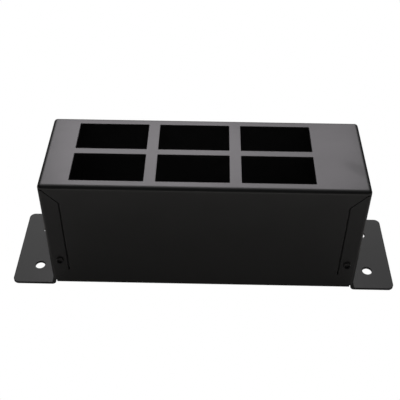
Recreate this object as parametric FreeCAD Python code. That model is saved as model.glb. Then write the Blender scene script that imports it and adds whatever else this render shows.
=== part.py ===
import FreeCAD, Part
import math
import os

from FreeCAD import Vector

# The housing of a power module for a desk: a box folded from one sheet, open below, with six
# cut-outs in its top, and a tray that closes it from below.
# Millimetres. X runs along the box, the front wall faces -Y and +Z is up. The origin lies on the
# surface that the ears are screwed to, under the middle of the box.

# Cut-outs in the top, and the bare sheet around them. They set the length and depth of the box.
cutout_length = 45.0
cutout_width = 25.6
cutout_corner = 0.4
columns = 3
rows = 2
web_between_columns = 7.2
web_between_rows = 5.2
left_margin = 18.4
right_margin = 32.8
side_margin = 6.3

# Sheet and folds of the housing
sheet = 1.5
fold_inner = 1.0
ear_fold_inner = 1.5
top_height = 89.0
skirt_lift = 4.1
skirt_setback = 2.6

# Tabs that the end walls fold round the upright corners, flush with the front and back walls,
# and the open seams between the tabs and those walls
tab_reach = 11.55
tab_mitre_rise = 10.0
tab_foot = 1.6
tab_relief = 1.0
seam_gap = 0.9
mitre_gap = 0.7
foot_gap = 0.1

# Ears that the end walls fold outwards at the foot
ear_reach = 28.1
ear_setback = 1.2
ear_tip_radius = 4.0
ear_hole_radius = 3.3
ear_hole_reach = 12.2
ear_hole_spacing = 35.0

# Tray that closes the underside, with a post in each corner that backs the seam beside it
tray_sheet = 1.2
tray_fold_inner = 1.0
tray_side_gap = 0.3
tray_end_gap = 0.2
tray_flange_height = 9.0
tray_post_width = 12.0
tray_post_headroom = 4.5
tray_post_corner = 2.5

# Screws that hold the tray, and the nuts clinched into its posts
screw_inset = 6.85
screw_height = 25.0
screw_shank_radius = 1.2
screw_hole_gap = 0.2
screw_length = 6.0
screw_tip_chamfer = 0.3
screw_head_radius = 2.35
screw_head_height = 1.5
screw_head_round = 1.1
recess_length = 2.2
recess_width = 0.55
recess_depth = 0.8
nut_bore_gap = 0.05
nut_collar_radius = 1.85
nut_collar_gap = 0.05
nut_flange_radius = 2.75
nut_flange_height = 1.4
nut_chamfer = 0.25

# Earth stud on the tray, with its washer and nut
stud_from_right_end = 20.0
stud_radius = 1.95
stud_rise = 12.0
stud_gap = 0.1
stud_head_radius = 3.4
stud_head_height = 1.0
stud_tip_chamfer = 0.5
washer_radius = 3.9
washer_height = 0.6
washer_teeth = 10
washer_slot_width = 0.9
washer_slot_depth = 1.1
earth_nut_flats = 7.0
earth_nut_height = 3.2
earth_nut_chamfer = 0.45

# Rubber grommet in the right end wall
entry_height = 46.0
entry_hole_radius = 8.0
grommet_bore_radius = 5.0
grommet_lip_radius = 10.8
grommet_lip_width = 2.2
grommet_lip_round = 0.9
grommet_groove_gap = 0.05

# How far a cutting shape runs past the face it cuts, and how close two places count as one
cut_past = 1.0
same_place = 1e-6

# Sizes that follow from the ones above
body_length = (
    left_margin + columns * cutout_length + (columns - 1) * web_between_columns + right_margin
)
body_depth = 2 * side_margin + rows * cutout_width + (rows - 1) * web_between_rows
half_length = body_length / 2
half_depth = body_depth / 2
fold_outer = fold_inner + sheet
ear_fold_outer = ear_fold_inner + sheet
ear_half_width = half_depth - ear_setback
tab_edge = half_length - tab_reach
tab_low = skirt_lift + tab_foot
tab_high = top_height - fold_outer - tab_relief
tab_root = half_length - fold_outer
tab_slope = tab_mitre_rise / (tab_root - tab_edge)
cap_low = tab_high + mitre_gap
screw_x = half_length - screw_inset
tray_half_depth = half_depth - sheet - tray_side_gap
tray_half_length = tab_root - tray_end_gap
tray_fold_outer = tray_fold_inner + tray_sheet
tray_top = skirt_lift + tray_sheet
stud_x = half_length - stud_from_right_end

RIGHT = Vector(1, 0, 0)
BACK = Vector(0, 1, 0)
UP = Vector(0, 0, 1)
CORNERS = [(side, front) for side in (-1, 1) for front in (-1, 1)]


def block(low, high):
    """A plain block between two opposite corners."""
    size = high - low
    return Part.makeBox(size.x, size.y, size.z, low)


def plate(points, thickness):
    """A flat plate whose outline runs through the points, thickened along the given vector."""
    return Part.Face(Part.makePolygon(points + [points[0]])).extrude(thickness)


def fold(centre, first, second, along, inner, thickness):
    """A quarter turn of sheet about a centre, from one direction to another, run along a vector."""
    outer = inner + thickness
    middle = (first + second).normalize()
    inside = Part.Arc(centre + first * inner, centre + middle * inner, centre + second * inner)
    outside = Part.Arc(centre + second * outer, centre + middle * outer, centre + first * outer)
    edges = [
        inside.toShape(),
        Part.LineSegment(centre + second * inner, centre + second * outer).toShape(),
        outside.toShape(),
        Part.LineSegment(centre + first * outer, centre + first * inner).toShape(),
    ]
    return Part.Face(Part.Wire(edges)).extrude(along)


def rod(radius, start, direction, length):
    """A round bar from a start point along a direction."""
    return Part.makeCylinder(radius, length, start, direction)


def turned(profile):
    """A piece turned about +Z from a profile of (radius, height) points."""
    points = [Vector(radius, 0, height) for radius, height in profile]
    return Part.Face(Part.makePolygon(points + [points[0]])).revolve(Vector(), UP, 360)


def placed(shape, start, direction):
    """The shape with its origin moved to a start point and its +Z turned to a direction."""
    shape.Placement = FreeCAD.Placement(start, FreeCAD.Rotation(UP, direction))
    return shape


def joined(pieces):
    """One solid from pieces that meet face to face."""
    return pieces[0].fuse(pieces[1:]).removeSplitter()


def straight_edges(shape, direction):
    """The shape's straight edges that run along a direction."""
    found = []
    for edge in shape.Edges:
        if isinstance(edge.Curve, Part.Line):
            if abs(abs(edge.Curve.Direction.dot(direction)) - 1) < same_place:
                found.append(edge)
    return found


def round_edges(shape, radius, height):
    """The shape's circles of one radius about +Z at one height."""
    found = []
    for edge in shape.Edges:
        if isinstance(edge.Curve, Part.Circle):
            same_radius = abs(edge.Curve.Radius - radius) < same_place
            if same_radius and abs(edge.Curve.Center.z - height) < same_place:
                found.append(edge)
    return found


def cutout(row, column):
    """The block, with slightly rounded corners, that one cut-out takes from the top."""
    low = Vector(
        left_margin - half_length + column * (cutout_length + web_between_columns),
        side_margin - half_depth + row * (cutout_width + web_between_rows),
        top_height - sheet - cut_past,
    )
    hole = block(low, low + Vector(cutout_length, cutout_width, sheet + 2 * cut_past))
    return hole.makeFillet(cutout_corner, straight_edges(hole, UP))


def top_plate():
    """The flat top between its four folds, with the cut-outs."""
    flat = block(
        Vector(fold_outer - half_length, fold_outer - half_depth, top_height - sheet),
        Vector(half_length - fold_outer, half_depth - fold_outer, top_height),
    )
    holes = [cutout(row, column) for row in range(rows) for column in range(columns)]
    return flat.cut(holes)


def long_wall(front):
    """Front wall (front -1) or back wall (front 1) with the fold that joins it to the top.

    Each end is cut back round the tab beside it, and follows the tab's slanted edges.
    """
    top = top_height - fold_outer
    outer = front * half_depth
    edge = tab_edge - seam_gap
    toe = half_length - skirt_setback
    lower = tab_low - foot_gap
    right_half = [
        (tab_root, top),
        (tab_root, cap_low),
        (edge, cap_low - tab_slope * (tab_root - edge)),
        (edge, lower + tab_slope * (tab_root - edge)),
        (toe, lower + tab_slope * (tab_root - toe)),
        (toe, skirt_lift),
    ]
    outline = [Vector(x, outer, z) for x, z in right_half]
    outline += [Vector(-x, outer, z) for x, z in reversed(right_half)]
    centre = Vector(-tab_root, front * (half_depth - fold_outer), top)
    bend = fold(centre, UP, BACK * front, RIGHT * (2 * tab_root), fold_inner, sheet)
    return [plate(outline, BACK * (-front * sheet)), bend]


def end_wall(side):
    """Left wall (side -1) or right wall (side 1) with the fold that joins it to the top."""
    outer = side * half_length
    top = top_height - fold_outer
    reach = half_depth - fold_outer
    back_half = [
        (reach, top),
        (reach, tab_low),
        (ear_half_width, tab_low),
        (ear_half_width, ear_fold_outer),
    ]
    outline = [Vector(outer, y, z) for y, z in back_half]
    outline += [Vector(outer, -y, z) for y, z in reversed(back_half)]
    centre = Vector(side * tab_root, -reach, top)
    bend = fold(centre, UP, RIGHT * side, BACK * (2 * reach), fold_inner, sheet)
    return [plate(outline, RIGHT * (-side * sheet)), bend]


def corner_cap(side, front):
    """The corner where two folds meet, closed and dressed round, with a short skirt below it.

    It is the section of a fold swung a quarter turn about the upright through the folds' centre.
    """
    drop = cap_low - (top_height - fold_outer)
    middle = (RIGHT + UP).normalize()
    inside = Part.Arc(RIGHT * fold_inner, middle * fold_inner, UP * fold_inner)
    outside = Part.Arc(UP * fold_outer, middle * fold_outer, RIGHT * fold_outer)
    foot_inside = Vector(fold_inner, 0, drop)
    foot_outside = Vector(fold_outer, 0, drop)
    edges = [
        inside.toShape(),
        Part.LineSegment(UP * fold_inner, UP * fold_outer).toShape(),
        outside.toShape(),
        Part.LineSegment(RIGHT * fold_outer, foot_outside).toShape(),
        Part.LineSegment(foot_outside, foot_inside).toShape(),
        Part.LineSegment(foot_inside, RIGHT * fold_inner).toShape(),
    ]
    cap = Part.Face(Part.Wire(edges)).revolve(Vector(), UP, 90)
    cap.rotate(Vector(), UP, math.degrees(math.atan2(front, side)) - 45)
    root = Vector(side * tab_root, front * (half_depth - fold_outer), top_height - fold_outer)
    return cap.translated(root)


def corner_tab(side, front):
    """A tab folded round one upright corner, flush with the front or back wall."""
    root = side * tab_root
    edge = side * tab_edge
    face = front * half_depth
    centre = Vector(root, front * (half_depth - fold_outer), tab_low)
    height = UP * (tab_high - tab_low)
    bend = fold(centre, RIGHT * side, BACK * front, height, fold_inner, sheet)
    outline = [
        Vector(root, face, tab_low),
        Vector(root, face, tab_high),
        Vector(edge, face, tab_high - tab_mitre_rise),
        Vector(edge, face, tab_low + tab_mitre_rise),
    ]
    return [bend, plate(outline, BACK * (-front * sheet))]


def ear(side):
    """A mounting ear folded outwards at the foot of an end wall, with its two holes."""
    root = side * (half_length + ear_fold_inner)
    tip = side * (half_length + ear_reach)
    centre = Vector(root, -ear_half_width, ear_fold_outer)
    width = BACK * (2 * ear_half_width)
    bend = fold(centre, RIGHT * -side, UP * -1, width, ear_fold_inner, sheet)
    flat = block(
        Vector(min(root, tip), -ear_half_width, 0),
        Vector(max(root, tip), ear_half_width, sheet),
    )
    tips = [
        edge for edge in straight_edges(flat, UP)
        if abs(edge.CenterOfMass.x - tip) < same_place
    ]
    flat = flat.makeFillet(ear_tip_radius, tips)
    for front in (-1, 1):
        foot = Vector(
            side * (half_length + ear_hole_reach), front * ear_hole_spacing / 2, -cut_past
        )
        flat = flat.cut(rod(ear_hole_radius, foot, UP, sheet + 2 * cut_past))
    return [flat, bend]


def housing():
    """The whole folded blank as one solid, with the screw holes and the cable's hole."""
    pieces = [top_plate()]
    for side in (-1, 1):
        pieces += long_wall(side) + end_wall(side) + ear(side)
    for side, front in CORNERS:
        pieces += corner_tab(side, front)
        pieces.append(corner_cap(side, front))
    shell = joined(pieces)
    through = sheet + 2 * cut_past
    hole_radius = screw_shank_radius + screw_hole_gap
    for side, front in CORNERS:
        start = Vector(side * screw_x, front * (half_depth + cut_past), screw_height)
        shell = shell.cut(rod(hole_radius, start, BACK * -front, through))
    start = Vector(half_length - sheet - cut_past, 0, entry_height)
    return shell.cut(rod(entry_hole_radius, start, RIGHT, through))


def tray_flange(front):
    """An upturned flange of the tray, low in the middle and with a tall post at each end."""
    outer = front * tray_half_depth
    foot = skirt_lift + tray_fold_outer
    low = skirt_lift + tray_flange_height
    high = top_height - sheet - tray_post_headroom
    reach = tray_half_length
    post = reach - tray_post_width
    outline = [
        Vector(-reach, outer, foot),
        Vector(-reach, outer, high),
        Vector(-post, outer, high),
        Vector(-post, outer, low),
        Vector(post, outer, low),
        Vector(post, outer, high),
        Vector(reach, outer, high),
        Vector(reach, outer, foot),
    ]
    flange = plate(outline, BACK * (-front * tray_sheet))
    shoulders = [
        edge for edge in straight_edges(flange, BACK)
        if abs(edge.CenterOfMass.z - high) < same_place
    ]
    flange = flange.makeFillet(tray_post_corner, shoulders)
    centre = Vector(-reach, front * (tray_half_depth - tray_fold_outer), foot)
    length = RIGHT * (2 * reach)
    bend = fold(centre, BACK * front, UP * -1, length, tray_fold_inner, tray_sheet)
    return [flange, bend]


def base_tray():
    """The tray as one solid, with the holes for the clinched nuts and the earth stud."""
    floor_half = tray_half_depth - tray_fold_outer
    floor = block(
        Vector(-tray_half_length, -floor_half, skirt_lift),
        Vector(tray_half_length, floor_half, tray_top),
    )
    tray = joined([floor] + tray_flange(-1) + tray_flange(1))
    through = tray_sheet + 2 * cut_past
    for side, front in CORNERS:
        start = Vector(side * screw_x, front * (tray_half_depth + cut_past), screw_height)
        tray = tray.cut(rod(nut_collar_radius + nut_collar_gap, start, BACK * -front, through))
    start = Vector(stud_x, 0, skirt_lift - cut_past)
    return tray.cut(rod(stud_radius + stud_gap, start, UP, through))


def tray_screw(side, front):
    """A pan-headed screw with a cross recess, its head against the tab."""
    head = rod(screw_head_radius, Vector(), UP, screw_head_height)
    rim = round_edges(head, screw_head_radius, screw_head_height)
    head = head.makeFillet(screw_head_round, rim)
    shank = turned(
        [
            (0, 0),
            (screw_shank_radius, 0),
            (screw_shank_radius, screw_tip_chamfer - screw_length),
            (screw_shank_radius - screw_tip_chamfer, -screw_length),
            (0, -screw_length),
        ]
    )
    screw = joined([head, shank])
    for length, width in ((recess_length, recess_width), (recess_width, recess_length)):
        low = Vector(-length / 2, -width / 2, screw_head_height - recess_depth)
        screw = screw.cut(block(low, low + Vector(length, width, recess_depth + cut_past)))
    return placed(screw, Vector(side * screw_x, front * half_depth, screw_height), BACK * front)


def tray_nut(side, front):
    """A clinch nut: a collar pressed into the post and a round flange behind it."""
    bore = screw_shank_radius + nut_bore_gap
    flange_end = tray_sheet + nut_flange_height
    nut = turned(
        [
            (bore, 0),
            (nut_collar_radius, 0),
            (nut_collar_radius, tray_sheet),
            (nut_flange_radius, tray_sheet),
            (nut_flange_radius, flange_end - nut_chamfer),
            (nut_flange_radius - nut_chamfer, flange_end),
            (bore, flange_end),
        ]
    )
    seat = Vector(side * screw_x, front * tray_half_depth, screw_height)
    return placed(nut, seat, BACK * -front)


def earth_stud():
    """A stud clinched into the tray from below, with a low round head."""
    top = tray_sheet + stud_rise
    stud = turned(
        [
            (0, -stud_head_height),
            (stud_head_radius, -stud_head_height),
            (stud_head_radius, 0),
            (stud_radius, 0),
            (stud_radius, top - stud_tip_chamfer),
            (stud_radius - stud_tip_chamfer, top),
            (0, top),
        ]
    )
    return placed(stud, Vector(stud_x, 0, skirt_lift), UP)


def earth_washer():
    """A washer with teeth around its rim, left between a ring of slots."""
    washer = rod(washer_radius, Vector(), UP, washer_height)
    cuts = [rod(stud_radius + stud_gap, Vector(), UP, washer_height)]
    low = Vector(washer_radius - washer_slot_depth, -washer_slot_width / 2, -cut_past)
    size = Vector(washer_slot_depth + cut_past, washer_slot_width, washer_height + 2 * cut_past)
    for tooth in range(washer_teeth):
        slot = block(low, low + size)
        slot.rotate(Vector(), UP, 360.0 * tooth / washer_teeth)
        cuts.append(slot)
    return placed(washer.cut(cuts), Vector(stud_x, 0, tray_top), UP)


def earth_nut():
    """A hexagon nut with its corners turned off at both ends."""
    corner = earth_nut_flats / math.sqrt(3)
    points = []
    for step in range(6):
        angle = math.radians(60 * step)
        points.append(Vector(corner * math.cos(angle), corner * math.sin(angle), 0))
    envelope = turned(
        [
            (0, 0),
            (corner - earth_nut_chamfer, 0),
            (corner, earth_nut_chamfer),
            (corner, earth_nut_height - earth_nut_chamfer),
            (corner - earth_nut_chamfer, earth_nut_height),
            (0, earth_nut_height),
        ]
    )
    nut = plate(points, UP * earth_nut_height).common(envelope)
    nut = nut.cut(rod(stud_radius + stud_gap, Vector(), UP, earth_nut_height))
    return placed(nut, Vector(stud_x, 0, tray_top + washer_height), UP)


def cable_grommet():
    """A rubber ring with a lip on each face of the wall and a groove that holds its edge."""
    groove_radius = entry_hole_radius - grommet_groove_gap
    groove_half = sheet / 2 + grommet_groove_gap
    half = groove_half + grommet_lip_width
    ring = turned(
        [
            (grommet_bore_radius, -half),
            (grommet_lip_radius, -half),
            (grommet_lip_radius, -groove_half),
            (groove_radius, -groove_half),
            (groove_radius, groove_half),
            (grommet_lip_radius, groove_half),
            (grommet_lip_radius, half),
            (grommet_bore_radius, half),
        ]
    )
    rims = []
    for height in (-half, half):
        rims += round_edges(ring, grommet_bore_radius, height)
        rims += round_edges(ring, grommet_lip_radius, height)
    ring = ring.makeFillet(grommet_lip_round, rims)
    return placed(ring, Vector(half_length - sheet / 2, 0, entry_height), RIGHT)


def corner_name(side, front):
    """Words for one of the four corners."""
    return ("front_" if front < 0 else "back_") + ("left" if side < 0 else "right")


def nodes():
    """Every node's name and solid."""
    found = {"housing": housing(), "base_tray": base_tray()}
    for side, front in CORNERS:
        found["tray_screw_" + corner_name(side, front)] = tray_screw(side, front)
        found["tray_nut_" + corner_name(side, front)] = tray_nut(side, front)
    found["earth_stud"] = earth_stud()
    found["earth_washer"] = earth_washer()
    found["earth_nut"] = earth_nut()
    found["cable_grommet"] = cable_grommet()
    return found


os.makedirs("parts", exist_ok=True)
for name, shape in nodes().items():
    shape.exportStep("parts/" + name + ".step")
    print(name, len(shape.Solids), "solid", round(shape.Volume, 1), "mm3")
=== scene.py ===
# %% [markdown]
# # The housing of a desk power module
#
# The object is a box folded from one sheet of steel and coated with satin black powder. Its top has
# six cut-outs for snap-in sockets, its ends carry drilled ears, and a tray closes it from below.
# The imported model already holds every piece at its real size, so this lesson is about the looks:
# where the camera stands, what the black coat mirrors, how each finish is built from nodes, and
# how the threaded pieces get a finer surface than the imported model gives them.

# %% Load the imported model
import math

import bpy
import numpy as np
from mathutils import Matrix, Vector


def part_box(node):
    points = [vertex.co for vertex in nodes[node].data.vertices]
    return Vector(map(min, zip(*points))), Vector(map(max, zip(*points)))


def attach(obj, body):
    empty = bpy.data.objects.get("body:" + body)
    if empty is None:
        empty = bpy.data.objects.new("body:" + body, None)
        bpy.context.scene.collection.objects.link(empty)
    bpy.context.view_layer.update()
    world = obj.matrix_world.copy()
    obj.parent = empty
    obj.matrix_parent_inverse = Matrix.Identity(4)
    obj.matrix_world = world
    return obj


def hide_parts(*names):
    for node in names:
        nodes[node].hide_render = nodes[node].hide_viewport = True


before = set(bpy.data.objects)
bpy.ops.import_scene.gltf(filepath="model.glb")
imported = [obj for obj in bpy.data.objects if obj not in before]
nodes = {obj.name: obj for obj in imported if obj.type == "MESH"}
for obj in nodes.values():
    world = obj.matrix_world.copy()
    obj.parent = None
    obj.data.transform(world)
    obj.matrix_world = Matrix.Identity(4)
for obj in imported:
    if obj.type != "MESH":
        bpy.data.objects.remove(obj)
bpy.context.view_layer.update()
MM = 0.001
print("pieces in the packed model:", len(nodes))

# %% [markdown]
# ## The camera
#
# The photograph was taken from the front and above with a long lens, so the box narrows towards the
# back only a little. The camera's place could be found by eye, by moving it until the outlines agree.
# Here it was solved from the corners of the box and of its cut-outs, which fixes it to a fraction of
# a pixel. Blender's camera looks along its own -Z with +Y up, so its three axes are worked out from
# a heading, a downward tilt and a small roll.

# %% Place the camera
IMAGE_WIDTH = 400
FOCAL_PIXELS = 752.547
SENSOR_WIDTH = 36.0
CAMERA_PLACE = Vector((1.972, -367.772, 386.307)) * MM
HEADING = -0.01339
TILT_DOWN = 0.74261
ROLL = 0.00896
NEAREST_SEEN = 0.01


def camera_axes(heading, tilt_down, roll):
    """Right, up and backward axes. Ahead is the heading turned down by the tilt; roll turns the rest."""
    level = Vector((math.sin(heading), math.cos(heading), 0))
    ahead = level * math.cos(tilt_down) - Vector((0, 0, math.sin(tilt_down)))
    right = Vector((math.cos(heading), -math.sin(heading), 0))
    up = right.cross(ahead)
    rolled_right = right * math.cos(roll) + up * math.sin(roll)
    rolled_up = up * math.cos(roll) - right * math.sin(roll)
    return rolled_right, rolled_up, -ahead


camera = bpy.data.objects.new("camera", bpy.data.cameras.new("camera"))
camera.data.sensor_width = SENSOR_WIDTH
camera.data.lens = FOCAL_PIXELS * SENSOR_WIDTH / IMAGE_WIDTH
camera.data.clip_start = NEAREST_SEEN
axes = Matrix(camera_axes(HEADING, TILT_DOWN, ROLL)).transposed()
camera.matrix_world = Matrix.Translation(CAMERA_PLACE) @ axes.to_4x4()
bpy.context.scene.collection.objects.link(camera)
bpy.context.scene.camera = camera
print("lens in millimetres:", round(camera.data.lens, 2))

# %% [markdown]
# ## Helpers for node trees
#
# Every finish and the studio's light are small networks of nodes. Written out call by call they
# would be long and hard to read, so one helper adds a node, sets its properties, and either sets
# an input or links a socket to it. The others do the same for the steps that come up again and
# again: a sum, a product, a soft step, the place and normal of a point, and a mix of two shaders.

# %% Helpers that add nodes


def add(tree, kind, inputs=None, **settings):
    """Adds one node and its settings. Each input gets a socket to link from, or a value to hold."""
    made = tree.nodes.new(kind)
    for name, value in settings.items():
        setattr(made, name, value)
    for key, value in (inputs or {}).items():
        if isinstance(value, bpy.types.NodeSocket):
            tree.links.new(value, made.inputs[key])
        else:
            made.inputs[key].default_value = value
    return made


def sum_of(tree, operation, *terms):
    """One arithmetic node on up to three terms. Returns its result socket."""
    return add(tree, "ShaderNodeMath", dict(enumerate(terms)), operation=operation).outputs[0]


def product(tree, first, *others):
    """All the terms multiplied together. Returns the last result socket."""
    result = first
    for other in others:
        result = sum_of(tree, "MULTIPLY", result, other)
    return result


def soft_step(tree, value, low, high, start=0.0, end=1.0):
    """Start below low, end above high, and a smooth step between. Returns the result socket."""
    inputs = {"Value": value, "From Min": low, "From Max": high, "To Min": start, "To Max": end}
    settings = {"interpolation_type": "SMOOTHSTEP"}
    return add(tree, "ShaderNodeMapRange", inputs, **settings).outputs["Result"]


def vectors_of(tree, operation, *terms):
    """One arithmetic node on vectors. Returns its outputs, of which Value holds a single number."""
    return add(tree, "ShaderNodeVectorMath", dict(enumerate(terms)), operation=operation).outputs


def own_place(tree):
    """The point's place on its object, in metres, as a vector socket."""
    return add(tree, "ShaderNodeTexCoord").outputs["Object"]


def own_normal(tree):
    """The surface's own normal, as a vector socket."""
    return add(tree, "ShaderNodeNewGeometry").outputs["Normal"]


def parts_of(tree, vector):
    """The X, Y and Z sockets of a vector socket."""
    return tuple(add(tree, "ShaderNodeSeparateXYZ", {0: vector}).outputs)


def blend_shaders(tree, factor, first, second):
    """The first shader where the factor is 0 and the second where it is 1. Returns the socket."""
    inputs = dict(enumerate((factor, first, second)))
    return add(tree, "ShaderNodeMixShader", inputs).outputs[0]


def new_material(name):
    """A material with an empty tree, ready for its nodes."""
    material = bpy.data.materials.new(name)
    material.use_nodes = True
    material.node_tree.nodes.clear()
    return material


print("helpers for node trees are ready")

# %% [markdown]
# ## The studio
#
# A glossy black object shows little of its own colour: what the eye reads as its tones is the room
# mirrored in it. The top mirrors what stands behind the box, the front mirrors the table before it,
# and the folds sweep across everything between. So the room is drawn as a light tent, bright low
# behind the box and dark over the camera, which gives the front fold its dark line. The tent's
# light depends only on the angle that a direction makes in the plane across the box, from the
# horizon behind, over the top, to the front, so it can be a colour ramp over that angle.

# %% Ramp of the tent's light
HALF_TURN = 180.0
RAMP_MIDDLE = 0.5
TENT_STOPS = [
    (0, 0.20),
    (34, 1.00),
    (44, 0.90),
    (51, 0.55),
    (78, 0.60),
    (98, 0.19),
    (108, 0.06),
    (170, 0.05),
    (180, 0.06),
]


def tent_ramp(tree, share):
    """A ramp of greys through the stops. share is the angle as a part of a half turn."""
    ramp = add(tree, "ShaderNodeValToRGB", {"Fac": share})
    elements = ramp.color_ramp.elements
    while len(elements) < len(TENT_STOPS):
        elements.new(RAMP_MIDDLE)
    for element, (degrees, level) in zip(elements, TENT_STOPS):
        element.position = degrees / HALF_TURN
        element.color = (level, level, level, 1)
    return ramp.outputs["Color"]


print("tent stops:", len(TENT_STOPS))

# %% [markdown]
# The tent's two ends are dark, which lines the end folds, and its right side is a little dimmer.
# The camera itself doesn't see the tent but a plain white backdrop, as in the photograph.

# %% Draw the light tent
TENT_STRENGTH = 1.6
END_FADE = (0.28, 0.55)
END_SHARE = 0.04
TENT_LEAN = (-0.25, 0.20)
TENT_RIGHT_SHARE = 0.80
WHITE = (1.0, 1.0, 1.0, 1.0)


def light_tent():
    """The ramp over the angle round the box, dimmed to the right and dark at the two ends."""
    world = bpy.data.worlds.new("light_tent")
    world.use_nodes = True
    tree = world.node_tree
    tree.nodes.clear()
    direction = add(tree, "ShaderNodeTexCoord").outputs["Generated"]
    across, ahead, upward = parts_of(tree, direction)
    angle = sum_of(tree, "ARCTAN2", upward, ahead)
    colour = tent_ramp(tree, sum_of(tree, "DIVIDE", angle, math.pi))
    aside = sum_of(tree, "ABSOLUTE", across)
    ends = soft_step(tree, aside, *END_FADE, 1.0, END_SHARE)
    lean = soft_step(tree, across, *TENT_LEAN, 1.0, TENT_RIGHT_SHARE)
    strength = product(tree, ends, lean, TENT_STRENGTH)
    tent = add(tree, "ShaderNodeBackground", {"Color": colour, "Strength": strength}).outputs[0]
    backdrop = add(tree, "ShaderNodeBackground", {"Color": WHITE, "Strength": 1.0}).outputs[0]
    seen = add(tree, "ShaderNodeLightPath").outputs["Is Camera Ray"]
    add(tree, "ShaderNodeOutputWorld", {"Surface": blend_shaders(tree, seen, tent, backdrop)})
    return world


bpy.context.scene.world = light_tent()
bpy.context.scene.view_settings.view_transform = "Standard"
print("tent strength:", TENT_STRENGTH)

# %% [markdown]
# The top is far brighter than the ears, although both lie flat. A light that stands close behind
# the box does that: the top mirrors its middle, while the ears lie lower and further out and mirror
# the tent past its sides. A plain area lamp has hard edges, which the satin coat would show, so
# this one is a glowing sheet. It is dark at the foot, which keeps the back fold's rim from
# glaring, and it clears softly at the sides. Its light leans to the left, and it is a little
# brighter at the head, which the front of the top mirrors.

# %% Glow of the light screen
SCREEN_MIDDLE = 3.45
SCREEN_FOOT = 0.20
SCREEN_TINT = (1.0, 0.955, 1.0, 1.0)
FOOT_FADE = (0.090, 0.135)
SIDE_SPREAD = 0.071
SIDE_SPREAD_RISE = 0.333
SIDE_FADE = (0.93, 1.10)
LEAN_FADE = (-0.010, 0.070)
LEAN_SHARE = 0.80
HEAD_RISE = (0.140, 0.190)
HEAD_SHARE = 1.09


def screen_glow():
    """A glow that is dark at the foot, dimmer to the right and clear past its sides."""
    material = new_material("screen_glow")
    tree = material.node_tree
    across, _, height = parts_of(tree, own_place(tree))
    foot = soft_step(tree, height, *FOOT_FADE, SCREEN_FOOT, SCREEN_MIDDLE)
    spread = sum_of(tree, "MULTIPLY_ADD", height, SIDE_SPREAD_RISE, SIDE_SPREAD)
    aside = sum_of(tree, "DIVIDE", sum_of(tree, "ABSOLUTE", across), spread)
    sides = soft_step(tree, aside, *SIDE_FADE, 1.0, 0.0)
    lean = soft_step(tree, across, *LEAN_FADE, 1.0, LEAN_SHARE)
    head = soft_step(tree, height, *HEAD_RISE, 1.0, HEAD_SHARE)
    lit = {"Color": SCREEN_TINT, "Strength": product(tree, foot, lean, head)}
    glow = add(tree, "ShaderNodeEmission", lit).outputs[0]
    clear = add(tree, "ShaderNodeBsdfTransparent").outputs[0]
    add(tree, "ShaderNodeOutputMaterial", {"Surface": blend_shaders(tree, sides, clear, glow)})
    return material


SCREEN_GLOW = screen_glow()
print("glow:", SCREEN_GLOW.name)

# %% [markdown]
# The camera doesn't see it.

# %% Stand the light screen close behind
SCREEN_BEHIND = 50 * MM
SCREEN_HALF = 200 * MM
SCREEN_TOP = 260 * MM


def flat_sheet(name, corners, material):
    """A flat four-cornered sheet that belongs to the studio and not to the object."""
    mesh = bpy.data.meshes.new(name)
    mesh.from_pydata(corners, [], [(0, 1, 2, 3)])
    mesh.materials.append(material)
    sheet = bpy.data.objects.new(name, mesh)
    bpy.context.scene.collection.objects.link(sheet)
    return sheet


screen_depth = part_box("housing")[1].y + SCREEN_BEHIND
screen_corners = [
    (-SCREEN_HALF, screen_depth, 0),
    (SCREEN_HALF, screen_depth, 0),
    (SCREEN_HALF, screen_depth, SCREEN_TOP),
    (-SCREEN_HALF, screen_depth, SCREEN_TOP),
]
screen = flat_sheet("light_screen", screen_corners, SCREEN_GLOW)
screen.visible_camera = False
print("light screen at", round(screen_depth / MM, 1), "mm")

# %% [markdown]
# The floor is plain and pale. The camera sees it as even white paper. The object sees a sheet of
# slightly warm paper that glows a little, as a light table does, with a painted shadow of the box
# in its glow: dim near the box and brighter away from it.
# It starts under the box and ends a forearm's length in front of it. The front wall and the foot
# of the front fold mirror that sheet. From below the floor is clear, so that the underside can be
# looked at.

# %% Paper of the floor
PAPER_TINT = (1.0, 0.975, 0.95)
PAPER_ALBEDO = 0.38
TABLE_ALBEDO = 0.05
PAPER_END = (0.27, 0.39)
PAPER_START = (-0.040, 0.000)
GLOW_IN_PAINTED_SHADOW = 0.104
GLOW_FAR = 0.91
PAINTED_SHADOW_FADE = (0.125, 0.270)
GLOW_LEAN = (-0.070, 0.060)
GLOW_LEFT_SHARE = 0.90
GLOW_BEYOND = 0.05


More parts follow.
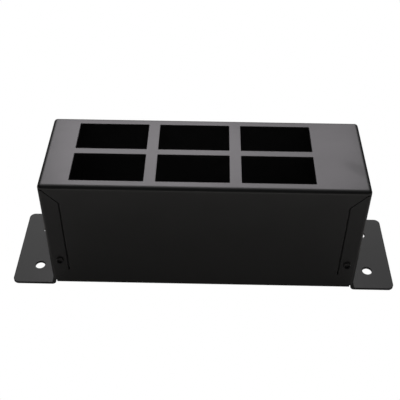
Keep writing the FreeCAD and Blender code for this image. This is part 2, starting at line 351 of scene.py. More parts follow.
def floor_paper():
    """White to the camera, glowing paper near the box with a painted shadow of the box in its glow for
    other rays, and clear from below.
    """
    material = new_material("floor_paper")
    tree = material.node_tree
    across, depth, _ = parts_of(tree, own_place(tree))
    ahead = product(tree, depth, -1.0)
    ending = soft_step(tree, ahead, *PAPER_END, PAPER_ALBEDO, TABLE_ALBEDO)
    albedo = product(tree, ending, soft_step(tree, ahead, *PAPER_START, TABLE_ALBEDO, 1.0))
    tinted = {index: product(tree, albedo, share) for index, share in enumerate(PAPER_TINT)}
    colour = add(tree, "ShaderNodeCombineColor", tinted).outputs[0]
    # The glow is dimmed near the box: a painted shadow of the box on the floor.
    out_of_painted_shadow = soft_step(tree, ahead, *PAINTED_SHADOW_FADE, GLOW_IN_PAINTED_SHADOW, GLOW_FAR)
    lean = soft_step(tree, across, *GLOW_LEAN, GLOW_LEFT_SHARE, 1.0)
    glow = product(tree, out_of_painted_shadow, lean, soft_step(tree, ahead, *PAPER_END, 1.0, GLOW_BEYOND))
    paper = add(tree, "ShaderNodeBsdfDiffuse", {"Color": colour}).outputs[0]
    lit = add(tree, "ShaderNodeEmission", {"Color": (*PAPER_TINT, 1.0), "Strength": glow}).outputs[0]
    both = add(tree, "ShaderNodeAddShader", {0: paper, 1: lit}).outputs[0]
    white = add(tree, "ShaderNodeEmission", {"Color": WHITE, "Strength": 1.0}).outputs[0]
    seen = add(tree, "ShaderNodeLightPath").outputs["Is Camera Ray"]
    above = blend_shaders(tree, seen, both, white)
    clear = add(tree, "ShaderNodeBsdfTransparent").outputs[0]
    below = add(tree, "ShaderNodeNewGeometry").outputs["Backfacing"]
    add(tree, "ShaderNodeOutputMaterial", {"Surface": blend_shaders(tree, below, above, clear)})
    return material


FLOOR_PAPER = floor_paper()
print("paper:", FLOOR_PAPER.name)

# %% [markdown]
# The floor lies a hair below the object's feet, so that the two faces don't fight for the same
# place. It is large enough to fill the view from every side.

# %% Lay the floor
FLOOR_HALF = 3.0
FLOOR_DROP = 0.05 * MM
floor_corners = np.array([(-1, -1, 0), (1, -1, 0), (1, 1, 0), (-1, 1, 0)]) * FLOOR_HALF
floor_corners[:, 2] = -FLOOR_DROP
flat_sheet("floor", floor_corners.tolist(), FLOOR_PAPER)
print("floor side in metres:", 2 * FLOOR_HALF)

# %% [markdown]
# ## Shared effects
#
# Several finishes need the same effects: a grain, a softened edge, marks from handling, and the
# rings that a lathe leaves. Each is a group of nodes with named inputs and outputs, built once and
# placed in every finish with its own values. A group gives only colours, masks, values and normals.
# Object coordinates are in metres here, and a noise texture's scale is its features per metre.

# %% Helpers for groups
FLOAT = "NodeSocketFloat"
VECTOR = "NodeSocketVector"


def new_group(name, inputs, outputs):
    """An empty group with named inputs, all numbers, and outputs. Returns the tree and its ends."""
    group = bpy.data.node_groups.new(name, "ShaderNodeTree")
    for label, value in inputs.items():
        group.interface.new_socket(label, in_out="INPUT", socket_type=FLOAT).default_value = value
    for label, kind in outputs.items():
        group.interface.new_socket(label, in_out="OUTPUT", socket_type=kind)
    return group, group.nodes.new("NodeGroupInput").outputs, group.nodes.new("NodeGroupOutput")


def give(group, result, **found):
    """Links each socket to the group's output of that name."""
    for label, socket in found.items():
        group.links.new(socket, result.inputs[label])
    return group


def use(tree, group, values=None):
    """One use of a shared group with its own values or linked sockets. Returns its outputs."""
    return add(tree, "ShaderNodeGroup", values, node_tree=group).outputs


def noise(tree, size, detail, stretch=None, turn=0.0):
    """Noise with features of about the given size in metres. Returns its value socket."""
    place = own_place(tree)
    if stretch is not None:
        inputs = {"Vector": place, "Scale": stretch, "Rotation": (0, 0, turn)}
        place = add(tree, "ShaderNodeMapping", inputs).outputs[0]
    scale = sum_of(tree, "DIVIDE", 1.0, size)
    made = add(tree, "ShaderNodeTexNoise", {"Vector": place, "Scale": scale, "Detail": detail})
    return made.outputs["Fac"]


print("helpers for groups are ready")

# %% [markdown]
# Powder coat melts into a skin with a faint orange peel, and with a much finer grain on top of
# it. Plating and moulded rubber have a finer skin of the same kind. Both are heights, so one group
# adds them up, and it also gives a slow cloud that finishes use to vary roughness and colour.

# %% Group: peel and grain


def peel_and_grain():
    """Height is peel plus a share of grain; Cloud is a slow variation for roughness and colour."""
    inputs = {"Peel Size": 0.0016, "Grain Size": 0.00022, "Grain Share": 0.25, "Cloud Size": 0.03}
    group, given, result = new_group("peel_and_grain", inputs, {"Height": FLOAT, "Cloud": FLOAT})
    peel = noise(group, given["Peel Size"], detail=1.0)
    grain = noise(group, given["Grain Size"], detail=2.0)
    height = sum_of(group, "MULTIPLY_ADD", grain, given["Grain Share"], peel)
    return give(group, result, Height=height, Cloud=noise(group, given["Cloud Size"], detail=3.0))


PEEL_AND_GRAIN = peel_and_grain()
print("group:", PEEL_AND_GRAIN.name)

# %% [markdown]
# A cut edge of sheet metal is never a knife edge: the coat draws back from it and handling
# polishes it. A Bevel node gives the normal that a rounded edge would have. Where that differs
# from the face's own normal there is an edge, and the difference serves as the mask.

# %% Group: softened edges
EDGE_AGREEMENT = (0.80, 0.995)
BEVEL_SAMPLES = 6


def softened_edges():
    """Normal is rounded over the given radius; Edge is 1 on an edge and 0 on a flat face."""
    inputs = {"Radius": 0.0003}
    group, given, result = new_group("softened_edges", inputs, {"Normal": VECTOR, "Edge": FLOAT})
    radius = {"Radius": given["Radius"]}
    rounded = add(group, "ShaderNodeBevel", radius, samples=BEVEL_SAMPLES).outputs[0]
    agreement = vectors_of(group, "DOT_PRODUCT", rounded, own_normal(group))["Value"]
    edge = soft_step(group, agreement, *EDGE_AGREEMENT, 1.0, 0.0)
    return give(group, result, Normal=rounded, Edge=edge)


SOFTENED_EDGES = softened_edges()
print("group:", SOFTENED_EDGES.name)

# %% [markdown]
# Hands leave long faint smudges where the box was carried and wiped, and dust settles in sparse
# specks on what faces up. A smudge is noise stretched along the box and turned a little. A speck
# is the close neighbourhood of a cell's centre in a Voronoi texture, and noise picks which cells
# carry one.

# %% Group: handling
SMUDGE_STRETCH = (1.0, 2.6, 1.6)
SMUDGE_TURN = math.radians(24)
SMUDGE_LEVELS = (0.50, 0.68)
SPECK_SPACING = 0.0034
SPECK_REACH = (0.020, 0.045)
SPECK_PATCH = 0.012
SPECK_PATCH_LEVELS = (0.50, 0.62)
FACING_UP = (0.6, 0.95)


def handling():
    """Smudge is 0 to 1 in long soft patches; Dust is 0 to 1 in sparse specks on upward faces."""
    inputs = {"Smudge Size": 0.022}
    group, given, result = new_group("handling", inputs, {"Smudge": FLOAT, "Dust": FLOAT})
    size = given["Smudge Size"]
    streaks = noise(group, size, detail=4.0, stretch=SMUDGE_STRETCH, turn=SMUDGE_TURN)
    cells = {"Vector": own_place(group), "Scale": 1 / SPECK_SPACING}
    distance = add(group, "ShaderNodeTexVoronoi", cells).outputs["Distance"]
    speck = soft_step(group, distance, *SPECK_REACH, 1.0, 0.0)
    patch = soft_step(group, noise(group, SPECK_PATCH, detail=2.0), *SPECK_PATCH_LEVELS)
    upward = soft_step(group, parts_of(group, own_normal(group))[2], *FACING_UP)
    smudge = soft_step(group, streaks, *SMUDGE_LEVELS)
    return give(group, result, Smudge=smudge, Dust=product(group, speck, patch, upward))


HANDLING = handling()
print("group:", HANDLING.name)

# %% [markdown]
# A lathe's tool leaves fine rings around the axis of what it turns. The group takes the distance
# from that axis and gives a height that rises and falls with it, uneven from ring to ring.

# %% Group: turning marks
RING_UNEVEN = 0.6
RING_NOISE = {"Scale": 0.7, "Detail": 1.0}


def turning_marks():
    """Height is a sine of the distance over the pitch, times a share that noise takes away."""
    inputs = {"Distance": 0.0, "Pitch": 0.00012}
    group, given, result = new_group("turning_marks", inputs, {"Height": FLOAT})
    turns = sum_of(group, "DIVIDE", given["Distance"], given["Pitch"])
    wave = sum_of(group, "SINE", product(group, turns, math.tau))
    along = {"W": turns, **RING_NOISE}
    uneven = add(group, "ShaderNodeTexNoise", along, noise_dimensions="1D").outputs["Fac"]
    share = sum_of(group, "MULTIPLY_ADD", uneven, -RING_UNEVEN, 1.0)
    return give(group, result, Height=product(group, wave, share))


TURNING_MARKS = turning_marks()
print("group:", TURNING_MARKS.name)

# %% [markdown]
# The axis is a fact of each piece, so a helper outside the group works out the distance from it.
# The four nuts and the four screws stand at mirrored places. Taking the place without its signs
# serves all four with one material.

# %% Helpers: where a piece's axis is
UP = (0, 0, 1)
BACK = (0, 1, 0)


def from_axis(tree, centre, axis, mirrored=False):
    """The distance from the line through centre along axis. Mirrored drops the signs of the place."""
    place = own_place(tree)
    if mirrored:
        place = vectors_of(tree, "ABSOLUTE", place)["Vector"]
    keep = tuple(1 - abs(part) for part in axis)
    away = vectors_of(tree, "SUBTRACT", place, tuple(centre))["Vector"]
    flat = vectors_of(tree, "MULTIPLY", away, keep)["Vector"]
    return vectors_of(tree, "LENGTH", flat)["Value"]


def middle_of(name):
    """The middle of a node's box."""
    low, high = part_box(name)
    return (low + high) / 2


def without_signs(place):
    """The same place with every part made positive, as the mirrored patterns need it."""
    return Vector([abs(part) for part in place])


stud_centre = middle_of("earth_stud")
print("axis of the earth stud in millimetres:", [round(part / MM, 2) for part in stud_centre[:2]])

# %% [markdown]
# ## Helpers for finishes
#
# Every finish ends the same way: colour, roughness and a bumped normal go into one Principled
# shader, whose constant values are set on its own sockets. So the ending is a helper, and a finish
# spells out only what makes it different. A Mix node has sockets for numbers, vectors and colours
# side by side, and the places named here are those of its colour sockets.

# %% Helpers for finishes
MIX_FACTOR, MIX_FIRST, MIX_SECOND, MIX_RESULT = 0, 6, 7, 2
BUMP_STRENGTH = 0.5
CLOUD_LEVELS = (0.3, 0.7)


def blend_colours(tree, factor, first, second):
    """A mix of two colours, or of a colour socket and a colour. Returns the colour socket."""
    inputs = {MIX_FACTOR: factor, MIX_FIRST: first, MIX_SECOND: second}
    return add(tree, "ShaderNodeMix", inputs, data_type="RGBA").outputs[MIX_RESULT]


def grey(level, warmth=0.0):
    """A grey of the given level, with a little more red and less blue where warmth is positive."""
    return (level * (1 + warmth), level, level * (1 - warmth), 1.0)


def bumped(tree, height, depth, normal):
    """A normal tilted by a height of the given depth in metres, on top of another normal."""
    inputs = {"Height": height, "Normal": normal, "Strength": BUMP_STRENGTH, "Distance": depth}
    return add(tree, "ShaderNodeBump", inputs).outputs[0]


def layered(tree, start, layers):
    """A number with each mask added to it by its share. Returns the last result socket."""
    result = start
    for mask, share in layers:
        result = sum_of(tree, "MULTIPLY_ADD", mask, share, result)
    return result


def finish_with(material, colour, roughness, normal, **constants):
    """Ends a finish: one Principled shader with linked looks and constants on its own sockets."""
    tree = material.node_tree
    inputs = {label.replace("_", " "): value for label, value in constants.items()}
    inputs.update({"Base Color": colour, "Roughness": roughness, "Normal": normal})
    shader = add(tree, "ShaderNodeBsdfPrincipled", inputs)
    add(tree, "ShaderNodeOutputMaterial", {"Surface": shader.outputs[0]})
    return material


print("helpers for finishes are ready")

# %% [markdown]
# ## Satin black powder coat
#
# The coat is a black plastic skin, so it is a dielectric: about four hundredths of the light
# mirrors off it head on, and more at a slant. Its roughness is what makes it satin. The coat is
# thinner and glossier over the edges, smudges dull it a little, and a few specks of dust lie on it.
#
# Inside the box the coat is duller, and its colour there is a lighter grey: painted light that
# stands in for what reaches in through the cut-outs. The place on the object tells inside from
# outside, because the inner faces lie nearer the middle of the box by the thickness of the sheet:
# the limit runs about halfway through it. The ears reach past the end walls, so along the box the
# limit is taken from the end of the tray, which stands inside.
#
# One wiped streak crosses the right end of the top. A Mapping node turns and scales the place, so
# that a plain ball of distance becomes a long soft spot.

# %% Masks for the coat: the inside of the box and a wiped streak
HALF_SHEET = 0.8 * MM
INSIDE_SOFT = 0.15 * MM
STREAK_CENTRE = (95.5 * MM, -14.0 * MM, 89.0 * MM)
STREAK_TURN = math.radians(-40)
STREAK_HALF = (15 * MM, 7 * MM, 2 * MM)
STREAK_FADE = (0.3, 1.0)


def inside_box(tree):
    """1 on the inner faces of the box and 0 on the outer ones and on the ears."""
    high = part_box("housing")[1]
    tray_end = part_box("base_tray")[1].x
    across, depth, height = parts_of(tree, own_place(tree))
    limits = (
        (sum_of(tree, "ABSOLUTE", across), tray_end + HALF_SHEET),
        (sum_of(tree, "ABSOLUTE", depth), high.y - HALF_SHEET),
        (height, high.z - HALF_SHEET),
    )
    masks = [soft_step(tree, value, limit - INSIDE_SOFT, limit, 1.0, 0.0) for value, limit in limits]
    return product(tree, *masks)


def wiped_streak(tree):
    """1 in the middle of one long soft spot on the top and 0 around it."""
    inputs = {
        "Vector": own_place(tree),
        "Location": STREAK_CENTRE,
        "Rotation": (0, 0, STREAK_TURN),
        "Scale": STREAK_HALF,
    }
    local = add(tree, "ShaderNodeMapping", inputs, vector_type="TEXTURE").outputs[0]
    return soft_step(tree, vectors_of(tree, "LENGTH", local)["Value"], *STREAK_FADE, 1.0, 0.0)


print("streak on the top, half its length in millimetres:", round(STREAK_HALF[0] / MM, 1))

# %% [markdown]
# The coat itself then reads from top to bottom: a black that varies a little with the cloud, a
# lighter grey inside as painted light, dusted in specks, and a roughness to which each layer adds
# its share. A polished edge takes some away.

# %% Material: powder coat
COAT_BLACKS = (grey(0.0133), grey(0.0178))
COAT_INSIDE_PAINTED_LIGHT = grey(0.055)
COAT_DUST = grey(0.16, 0.05)
COAT_DUST_SHARE = 0.3
COAT_ROUGHNESS = (0.28, 0.33)
COAT_EDGE_RADIUS = 0.8 * MM
COAT_BUMP = 0.01 * MM
SMUDGE_DULLS = 0.025
STREAK_DULLS = 0.08
INSIDE_DULLS = 0.25
DUST_DULLS = 0.2
EDGE_SHINES = 0.05


def powder_coat():
    """Satin black: orange peel in the normal, clouds and smudges in the roughness, dust in both, and a
    lighter grey inside the box as painted light.
    """
    material = new_material("powder_coat")
    tree = material.node_tree
    skin = use(tree, PEEL_AND_GRAIN)
    edges = use(tree, SOFTENED_EDGES, {"Radius": COAT_EDGE_RADIUS})
    marks = use(tree, HANDLING)
    inside = inside_box(tree)
    outer = blend_colours(tree, skin["Cloud"], *COAT_BLACKS)
    # Inside the box the colour turns a lighter grey: painted light in the shaded interior.
    coat = blend_colours(tree, inside, outer, COAT_INSIDE_PAINTED_LIGHT)
    colour = blend_colours(tree, product(tree, marks["Dust"], COAT_DUST_SHARE), coat, COAT_DUST)
    satin = soft_step(tree, skin["Cloud"], *CLOUD_LEVELS, *COAT_ROUGHNESS)
    layers = (
        (marks["Smudge"], SMUDGE_DULLS),
        (wiped_streak(tree), STREAK_DULLS),
        (inside, INSIDE_DULLS),
        (marks["Dust"], DUST_DULLS),
        (edges["Edge"], -EDGE_SHINES),
    )
    normal = bumped(tree, skin["Height"], COAT_BUMP, edges["Normal"])
    return finish_with(material, colour, layered(tree, satin, layers), normal)


POWDER_COAT = powder_coat()
for name in ("housing", "base_tray"):
    nodes[name].material_slots[0].material = POWDER_COAT
print("powder coat on housing and base_tray")

# %% [markdown]
# ## Moulded rubber
#
# The grommet in the right end wall is black rubber with soot in it. Moulded rubber is matt, with a
# very fine grain, and it blooms: a pale film comes to the surface in patches. A little sheen gives
# the soft light edge that such rubber shows at a slant.

# %% Material: rubber
RUBBER_SKIN = {"Peel Size": 0.0007, "Grain Size": 0.00009, "Grain Share": 0.8, "Cloud Size": 0.006}
RUBBER_SMUDGE_SIZE = 5 * MM
RUBBER_BLACK = grey(0.014)
RUBBER_BLOOM = grey(0.036, 0.03)
RUBBER_BLOOM_LEVELS = (0.45, 0.75)
RUBBER_BLOOM_SHARE = 0.6
RUBBER_DUST = grey(0.18, 0.05)
RUBBER_DUST_SHARE = 0.4
RUBBER_ROUGHNESS = (0.60, 0.74)
RUBBER_SMUDGE_SHINES = 0.08
RUBBER_BUMP = 0.014 * MM


def moulded_rubber():
    """Matt black with a fine grain, pale bloom in patches and a weak sheen."""
    material = new_material("rubber")
    tree = material.node_tree
    skin = use(tree, PEEL_AND_GRAIN, RUBBER_SKIN)
    marks = use(tree, HANDLING, {"Smudge Size": RUBBER_SMUDGE_SIZE})
    bloom = product(tree, soft_step(tree, skin["Cloud"], *RUBBER_BLOOM_LEVELS), RUBBER_BLOOM_SHARE)
    black = blend_colours(tree, bloom, RUBBER_BLACK, RUBBER_BLOOM)
    colour = blend_colours(tree, product(tree, marks["Dust"], RUBBER_DUST_SHARE), black, RUBBER_DUST)
    matt = soft_step(tree, skin["Cloud"], *CLOUD_LEVELS, *RUBBER_ROUGHNESS)
    roughness = layered(tree, matt, [(marks["Smudge"], -RUBBER_SMUDGE_SHINES)])
    normal = bumped(tree, skin["Height"], RUBBER_BUMP, own_normal(tree))
    return finish_with(material, colour, roughness, normal, Sheen_Weight=0.08, Sheen_Roughness=0.5)


nodes["cable_grommet"].material_slots[0].material = moulded_rubber()
print("rubber on cable_grommet")

# %% [markdown]
# ## Plated steel and turned brass
#
# The nuts behind the posts and the earth stud and washer are steel with bright zinc, the earth nut
# is bare brass. Bare metal takes its colour from what it mirrors, so it is Metallic 1 and its base
# colour is the metal's own tint. Zinc carries a thin clear film that shimmers from bluish to
# straw, and brass tarnishes to brown away from where it is touched. Both were turned on a lathe.

# %% Helper: a turned metal finish
METAL_SKIN = {"Peel Size": 0.0009, "Grain Size": 0.00012, "Grain Share": 0.6, "Cloud Size": 0.0035}
METAL_EDGE_RADIUS = 0.08 * MM
METAL_CLOUD_LEVELS = (0.35, 0.65)
METAL_RING_SHARE = 0.5
METAL_BUMP = 0.004 * MM
POLISH_SHINES = 0.06


def bare_metal(name, tints, levels, distance, pitch, worn=None):
    """A turned metal finish: two tints in clouds, rings about an axis, and polished edges.

    tints are the main and the aged colour and the colour of an edge, levels are the least and the
    greatest roughness, distance(tree) gives the distance from the axis, and worn(tree), where it is
    given, gives a mask of what rubbing has polished.
    """
    material = new_material(name)
    tree = material.node_tree
    skin = use(tree, PEEL_AND_GRAIN, METAL_SKIN)
    edges = use(tree, SOFTENED_EDGES, {"Radius": METAL_EDGE_RADIUS})
    rings = use(tree, TURNING_MARKS, {"Distance": distance(tree), "Pitch": pitch})
    main, aged, bright = tints
    clouds = soft_step(tree, skin["Cloud"], *METAL_CLOUD_LEVELS)
    polished = edges["Edge"] if worn is None else sum_of(tree, "MAXIMUM", edges["Edge"], worn(tree))
    colour = blend_colours(tree, polished, blend_colours(tree, clouds, main, aged), bright)
    dull = soft_step(tree, skin["Cloud"], *CLOUD_LEVELS, *levels)
    roughness = layered(tree, dull, [(polished, -POLISH_SHINES)])
    height = layered(tree, skin["Height"], [(rings["Height"], METAL_RING_SHARE)])
    normal = bumped(tree, height, METAL_BUMP, edges["Normal"])
    return finish_with(material, colour, roughness, normal, Metallic=1.0)


print("turned metal is ready")

# %% [markdown]
# The nuts lie along the depth of the box and the earth pieces stand upright, so each finish gets
# the axis of its own pieces. The pitch of the rings and the range of roughness differ a little
# from piece to piece, as they do on parts from different makers.

# %% Materials: zinc and brass
ZINC_TINTS = ((0.54, 0.56, 0.60, 1), (0.60, 0.57, 0.49, 1), (0.70, 0.71, 0.72, 1))
BRASS_TINTS = ((0.64, 0.45, 0.18, 1), (0.40, 0.25, 0.09, 1), (0.80, 0.62, 0.32, 1))
NUT_ROUGHNESS = (0.26, 0.40)
NUT_PITCH = 0.16 * MM
WASHER_ROUGHNESS = (0.28, 0.42)
WASHER_PITCH = 0.20 * MM
BRASS_ROUGHNESS = (0.20, 0.36)
BRASS_PITCH = 0.14 * MM
nut_centre = without_signs(middle_of("tray_nut_back_right"))


def from_nut(tree):
    """The distance from the axis of the nearest of the four nuts."""
    return from_axis(tree, nut_centre, BACK, mirrored=True)


def from_stud(tree):
    """The distance from the upright axis of the earth stud."""
    return from_axis(tree, stud_centre, UP)


nut_zinc = bare_metal("zinc_nuts", ZINC_TINTS, NUT_ROUGHNESS, from_nut, NUT_PITCH)
earth_zinc = bare_metal("zinc_earth", ZINC_TINTS, WASHER_ROUGHNESS, from_stud, WASHER_PITCH)
brass = bare_metal("brass", BRASS_TINTS, BRASS_ROUGHNESS, from_stud, BRASS_PITCH)
for name in nodes:
    if name.startswith("tray_nut"):
        nodes[name].material_slots[0].material = nut_zinc
nodes["earth_washer"].material_slots[0].material = earth_zinc
nodes["earth_nut"].material_slots[0].material = brass
print("zinc on the nuts and the washer, brass on the earth nut")

# %% [markdown]
# ## Surfaces of rings
#
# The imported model's screws and stud are plain bars, because a thread adds nothing to how the parts
# fit. Seen close they need one. A turned piece can be spun from a profile by a modifier, but a
# thread and a hexagon socket aren't the same all the way round. So the surface is worked out as a
# grid: rings of points about the axis, each point with its own radius and height. The first and
# last rings shrink to one point each, which closes the surface. The volume inside tells whether
# the faces point outwards, as it would come out negative if they pointed in.

# %% Helpers: the faces between rings and the volume inside
AROUND = 96


def smooth(value):
    """0 below 0, 1 above 1, and between them the step 3 v squared minus 2 v cubed."""
    held = np.clip(value, 0.0, 1.0)
    return held * held * (3 - 2 * held)


def ring_faces(rings):
    """Quads between neighbouring rings, and a fan of triangles from each pole to its ring."""
    around = np.arange(AROUND)
    beyond = (around + 1) % AROUND
    starts = 1 + AROUND * np.arange(rings - 1)[:, None]
    quads = np.stack(
        [starts + around, starts + AROUND + around, starts + AROUND + beyond, starts + beyond], axis=-1
    )
    last = 1 + AROUND * (rings - 1)
    top = np.stack([np.zeros_like(around), 1 + around, 1 + beyond], axis=-1)
    bottom = np.stack([last + beyond, last + around, np.full_like(around, last + AROUND)], axis=-1)
    return top.tolist() + quads.reshape(-1, 4).tolist() + bottom.tolist()


def inside_of(vertices, faces):
    """The volume inside a closed surface: a sixth of the summed triple products of its triangles."""
    fans = [(face[0], face[step], face[step + 1]) for face in faces for step in range(1, len(face) - 1)]
    corners = vertices[np.array(fans)]
    triples = np.einsum("ij,ij->i", corners[:, 0], np.cross(corners[:, 1], corners[:, 2]))
    return float(triples.sum() / 6)


print("points around each ring:", AROUND)

# %% [markdown]
# A piece is built at its real place, with its object at the origin, so that Object coordinates mean
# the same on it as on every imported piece. The rub number goes along as a named attribute of the
# points, which its material reads.

# %% Helper: a closed surface from rings of points


def ring_surface(name, radius, along, rub, seat, axis, material, slot):
    """A closed piece from rings of points about an axis.

    Each point is seat + along * axis + radius * (cos(turn) * first + sin(turn) * second), where
    first, second and axis stand square to each other. The rings go from the head to the tip. rub
    is a number a point from 0 to 1 that says how much handling has polished it.
    """
    turn = np.arange(AROUND) * (math.tau / AROUND)
    first = np.cross(axis, (1.0, 0.0, 0.0))
    second = np.cross(axis, first)
    spokes = np.cos(turn)[:, None] * first + np.sin(turn)[:, None] * second
    grid = radius[..., None] * spokes + along[..., None] * np.array(axis, float)
    poles = [along[0].mean() * np.array(axis, float), along[-1].mean() * np.array(axis, float)]
    vertices = np.vstack([poles[0][None], grid.reshape(-1, 3), poles[1][None]]) + np.array(seat)
    faces = ring_faces(len(radius))
    mesh = bpy.data.meshes.new(name)
    mesh.from_pydata(vertices.tolist(), [], faces)
    mesh.shade_smooth()
    layer = mesh.attributes.new("rub", "FLOAT", "POINT")
    layer.data.foreach_set("value", np.concatenate([[rub[0].mean()], rub.ravel(), [rub[-1].mean()]]))
    mesh.materials.append(material)
    piece = bpy.data.objects.new(name, mesh)
    bpy.context.scene.collection.objects.link(piece)
    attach(piece, "root")
    print(name, "inside it", round(inside_of(vertices, faces) / MM**3, 1), "cubic mm")
    return piece


print("closed surfaces of rings are ready")

# %% [markdown]
# A thread is a groove that climbs one pitch a turn. Its crest and its root are narrow flats with a
# flank between, so the depth is a triangle wave of the phase with both ends flattened. It fades in
# below the head and out towards the tip, as a rolled thread does.

# %% Helper: the depth of a thread
THREAD_CREST = 0.14
THREAD_FLANK = 0.66
THREAD_RUNS_OUT = 0.4
RINGS_PER_PITCH = 10
TIP_RINGS = 8


def thread_depth(along, top, foot, pitch, depth):
    """How far a thread cuts in: a ridge that climbs one pitch a turn, fading out at both ends.

    The phase is the height over the pitch less the share of the turn. The depth is a flattened
    triangle of the phase: none on the crest, full in the root.
    """
    share = np.arange(AROUND) / AROUND
    phase = (along / pitch - share) % 1.0
    groove = smooth((np.abs(2 * phase - 1) - THREAD_CREST) / THREAD_FLANK)
    fade = smooth((top - along) / pitch) * smooth((along - foot) / pitch + THREAD_RUNS_OUT)
    return depth * groove * fade


def shank_rings(radius, length, tip, pitch):
    """Radii and heights of the shank's rings, from the seat to the chamfered tip."""
    steps = int(RINGS_PER_PITCH * length / pitch)
    along = -np.linspace(0, length, steps)
    tapered = radius - tip * np.clip((-along - (length - tip)) / tip, 0, 1)
    inner = np.linspace(radius - tip, 0, TIP_RINGS)[1:-1]
    return np.concatenate([tapered, inner]), np.concatenate([along, inner * 0 - length])


def shallow(depth, radius):
    """A thread's depth, held to half the radius so that the tip stays round."""
    return np.minimum(depth, radius / 2)


print("rings along one pitch:", RINGS_PER_PITCH)

# %% [markdown]
# ## The tray screws
#
# In the photograph each screw shows as a small black bow that is open upwards. A socket does that:
# seen from above, only the lower wall of it and the shadow at its floor are in view. So each screw
# has a low round head with a hexagon socket. The socket is a depth that is subtracted from the
# head's height, flat at the bottom with steep walls.

# %% Socket of a screw
SOCKET_HALF = 1.6 * MM
SOCKET_DEPTH = 1.3 * MM
SOCKET_SOFT = 0.09 * MM
SOCKET_CORNER = SOCKET_HALF / math.cos(math.pi / 6)


def socket(radius, turn):
    """The depth of a hexagon socket: full where the point lies inside all three pairs of flats."""
    away = [np.abs(radius * np.cos(turn + pair * math.pi / 3)) for pair in range(3)]
    return SOCKET_DEPTH * smooth((SOCKET_HALF - np.maximum.reduce(away)) / SOCKET_SOFT + 0.5)


print("socket across its flats in millimetres:", round(2 * SOCKET_HALF / MM, 2))

# %% [markdown]
# The head's height is a function of the radius: slightly domed, then a quarter round, then an
# upright side that curls in at its foot. The rings stand closest together where it bends.

# %% Head of a screw
SCREW_ROUND = 0.3 * MM
SCREW_DOME = 0.05 * MM
FOOT_ROUND = 0.10 * MM
CROWN_RINGS = 34
ROUND_RINGS = 13
FOOT_RINGS = 6


def head_rings(head_radius, head_height):
    """Radii and heights of the head's rings, from the crown's middle to the foot of its side."""
    flat = head_radius - SCREW_ROUND
    crown = np.linspace(0, flat, CROWN_RINGS)[1:]
    swing = np.linspace(0, math.pi / 2, ROUND_RINGS)[1:]
    curl = np.linspace(0, math.pi / 2, FOOT_RINGS)
    radius = np.concatenate(
        [crown, flat + SCREW_ROUND * np.sin(swing), head_radius - FOOT_ROUND * (1 - np.cos(curl))]
    )
    drop = np.concatenate([crown * 0, SCREW_ROUND * (1 - np.cos(swing))])
    domed = head_height - SCREW_DOME * (radius[: len(drop)] / head_radius) ** 2 - drop
    return radius, np.concatenate([domed, FOOT_ROUND * (1 - np.sin(curl))])


print("rings over the head:", CROWN_RINGS + ROUND_RINGS + FOOT_RINGS - 2)

# %% [markdown]
# The whole screw is the head's rings and then the shank's. The rub number is highest on the rim of
# the socket, where the key bears, and on the crests of the thread.

# %% Surface of a screw
SCREW_SHANK = 1.2 * MM
SCREW_PITCH = 0.45 * MM
SCREW_THREAD_DEPTH = 0.17 * MM
SCREW_TIP = 0.3 * MM
RUB_ON_SHANK = 0.15
RUB_ON_RIM = 0.4
RIM_SHARPNESS = 6


def screw_surface(head_radius, head_height, length, turned_by):
    """Radius, height and rub of every point of a screw, as three grids of rings by points around."""
    head_r, head_h = head_rings(head_radius, head_height)
    shank_r, shank_h = shank_rings(SCREW_SHANK, length, SCREW_TIP, SCREW_PITCH)
    turn = np.arange(AROUND) * (math.tau / AROUND) + turned_by
    radius = np.repeat(np.concatenate([head_r, shank_r])[:, None], AROUND, axis=1)
    along = np.repeat(np.concatenate([head_h, shank_h])[:, None], AROUND, axis=1)
    head = slice(0, len(head_r))
    cut = socket(radius[head], turn)
    along[head] -= cut
    depth = thread_depth(along, -SCREW_PITCH, -length, SCREW_PITCH, SCREW_THREAD_DEPTH)
    depth[head] = 0
    depth = shallow(depth, radius)
    rim = cut * (SOCKET_DEPTH - cut) / SOCKET_DEPTH**2
    rub = RUB_ON_SHANK + 0 * radius
    rub[head] = RUB_ON_RIM * smooth(RIM_SHARPNESS * rim)
    rub[len(head_r):] *= 1 - depth[len(head_r):] / SCREW_THREAD_DEPTH
    return radius - depth, along, rub


print("pitch of the screws in millimetres:", round(SCREW_PITCH / MM, 2))

# %% [markdown]
# Black zinc is a dull dark film on bright metal. Where the key bore and where threads rubbed, the
# metal comes through, so the finish blends from the film to bright steel by the rub number that
# the surface carries. A Metallic value may vary over a surface, so it is linked. A thin pale film
# of dust and painted light lies on the upper side of each head, outside the socket: it paints the
# head's lit top about as light as the wall behind it.

# %% Material: black zinc
DUST_AND_TOP_LIGHT_FACING = (0.10, 0.75)
DUST_AND_TOP_LIGHT_SHARE = 0.50
SOCKET_RIM = 0.10 * MM
ZINC_SKIN = {"Peel Size": 0.0006, "Grain Size": 0.0001, "Grain Share": 0.6, "Cloud Size": 0.003}
BLACK_ZINC_PITCH = 0.18 * MM
BLACK_ZINC_WORN = (0.40, 0.65)
BLACK_ZINC_FILM = ((0.006, 0.006, 0.007, 1), (0.012, 0.012, 0.013, 1))
BLACK_ZINC_DUST_AND_TOP_LIGHT = grey(0.30, 0.04)
BLACK_ZINC_STEEL = grey(0.42)
BLACK_ZINC_ROUGHNESS = (0.48, 0.58)
BLACK_ZINC_RING_SHARE = 0.3


def rub_of(tree):
    """The rub number that the surface carries at each point."""
    return add(tree, "ShaderNodeAttribute", attribute_name="rub").outputs["Fac"]


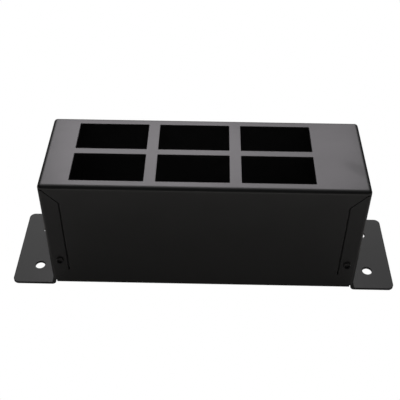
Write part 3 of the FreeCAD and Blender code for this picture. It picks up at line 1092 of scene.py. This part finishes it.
def black_zinc(distance):
    """Near-black film that rubs through to steel on the socket's rim and the thread's crests, with dust
    and painted light on the upper side of each head.
    """
    material = new_material("black_zinc")
    tree = material.node_tree
    skin = use(tree, PEEL_AND_GRAIN, ZINC_SKIN)
    rings = use(tree, TURNING_MARKS, {"Distance": distance(tree), "Pitch": BLACK_ZINC_PITCH})
    worn = product(tree, rub_of(tree), soft_step(tree, skin["Cloud"], *BLACK_ZINC_WORN))
    film = blend_colours(tree, skin["Cloud"], *BLACK_ZINC_FILM)
    plain = own_normal(tree)
    # Dust and a painted highlight on the upward side of each head, outside the socket.
    outside = soft_step(tree, distance(tree), SOCKET_CORNER, SOCKET_CORNER + SOCKET_RIM)
    upward = soft_step(tree, parts_of(tree, plain)[2], *DUST_AND_TOP_LIGHT_FACING)
    dust_and_top_light = product(tree, outside, upward, DUST_AND_TOP_LIGHT_SHARE)
    dusted_and_lit = blend_colours(tree, dust_and_top_light, film, BLACK_ZINC_DUST_AND_TOP_LIGHT)
    colour = blend_colours(tree, worn, dusted_and_lit, BLACK_ZINC_STEEL)
    roughness = soft_step(tree, skin["Cloud"], *CLOUD_LEVELS, *BLACK_ZINC_ROUGHNESS)
    height = layered(tree, skin["Height"], [(rings["Height"], BLACK_ZINC_RING_SHARE)])
    normal = bumped(tree, height, METAL_BUMP, plain)
    return finish_with(material, colour, roughness, normal, Metallic=worn)


def from_screw(tree):
    """The distance from the axis of the nearest of the four screws."""
    return from_axis(tree, screw_centre, BACK, mirrored=True)


screw_centre = without_signs(middle_of("tray_screw_back_right"))
BLACK_ZINC = black_zinc(from_screw)
print("black zinc is ready")

# %% [markdown]
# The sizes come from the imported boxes: the head's radius is half the box's width, and the wall's
# face splits the box's depth into the head's height and the shank's length. Each screw stopped at
# its own angle, which is given in radians.

# %% Make the four screws
SCREW_TURNS = {"front_left": 0.23, "front_right": 0.02, "back_left": 0.62, "back_right": 0.90}
WALL_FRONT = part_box("housing")[0].y


def make_screw(corner, turned_by):
    """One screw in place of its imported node, its head against the outer face of its wall."""
    node = "tray_screw_" + corner
    low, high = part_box(node)
    front = corner.startswith("front")
    wall = WALL_FRONT if front else -WALL_FRONT
    head_height = (wall - low.y) if front else (high.y - wall)
    length = (high.y - wall) if front else (wall - low.y)
    middle = (low + high) / 2
    seat = (middle.x, wall, middle.z)
    axis = (0, -1 if front else 1, 0)
    grids = screw_surface((high.x - low.x) / 2, head_height, length, turned_by)
    piece = ring_surface(node + "_threaded", *grids, seat, axis, BLACK_ZINC, "black_zinc")
    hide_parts(node)


for corner, turned_by in SCREW_TURNS.items():
    make_screw(corner, turned_by)

# %% [markdown]
# ## The earth stud
#
# The stud is pressed into the tray's floor from below. It has a low round head underneath and a
# thread above, on which the washer and the brass nut sit. It is the same kind of surface as the
# screws', without a socket, and it stands head down. Its thread starts above the tray's floor.

# %% Shape of the earth stud
STUD_SHANK = 1.95 * MM
STUD_PITCH = 0.7 * MM
STUD_THREAD_DEPTH = 0.30 * MM
STUD_TIP = 0.5 * MM
STUD_RIM = 0.25 * MM
STUD_THREAD_TOP = -1.9 * MM
STUD_CROWN_RINGS = 14
STUD_ROUND_RINGS = 7
STUD_SIDE_RINGS = 5


def stud_surface(head_radius, head_height, length):
    """Radius, height and rub of every point of the stud, from the middle of its head to its tip."""
    crown = np.linspace(0, head_radius - STUD_RIM, STUD_CROWN_RINGS)[1:]
    swing = np.linspace(0, math.pi / 2, STUD_ROUND_RINGS)[1:]
    side = np.linspace(head_height - STUD_RIM, 0, STUD_SIDE_RINGS)[1:]
    shank_r, shank_h = shank_rings(STUD_SHANK, length, STUD_TIP, STUD_PITCH)
    radii = [crown, head_radius - STUD_RIM * (1 - np.sin(swing)), side * 0 + head_radius, shank_r]
    heights = [crown * 0 + head_height, head_height - STUD_RIM * (1 - np.cos(swing)), side, shank_h]
    radius = np.repeat(np.concatenate(radii)[:, None], AROUND, axis=1)
    along = np.repeat(np.concatenate(heights)[:, None], AROUND, axis=1)
    depth = thread_depth(along, STUD_THREAD_TOP, -length, STUD_PITCH, STUD_THREAD_DEPTH)
    depth[: -len(shank_r)] = 0
    depth = shallow(depth, radius)
    return radius - depth, along, 1 - depth / STUD_THREAD_DEPTH


print("pitch of the stud in millimetres:", round(STUD_PITCH / MM, 2))

# %% [markdown]
# The stud has the same bright zinc as the washer, polished a little more on the crests of its
# thread, where the nut was run up and down.

# %% Make the earth stud
STUD_RUB_SHARE = 0.35
STUD_ROUGHNESS = (0.26, 0.40)
STUD_RING_PITCH = 0.20 * MM


def rubbed(tree):
    """The mask of polished crests that the surface carries, at a share of its strength."""
    return product(tree, rub_of(tree), STUD_RUB_SHARE)


stud_low, stud_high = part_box("earth_stud")
floor_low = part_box("base_tray")[0].z
stud_zinc = bare_metal(
    "zinc_stud", ZINC_TINTS, STUD_ROUGHNESS, from_stud, STUD_RING_PITCH, rubbed
)
stud_head = (stud_high.x - stud_low.x) / 2
stud_grids = stud_surface(stud_head, floor_low - stud_low.z, stud_high.z - floor_low)
stud_seat = (stud_centre.x, stud_centre.y, floor_low)
stud = ring_surface("earth_stud_threaded", *stud_grids, stud_seat, (0, 0, -1), stud_zinc, "zinc")
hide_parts("earth_stud")

# %% [markdown]
# ## Finish

# The dressed model may not be larger than the imported one.

# %% Finish
bpy.context.view_layer.update()
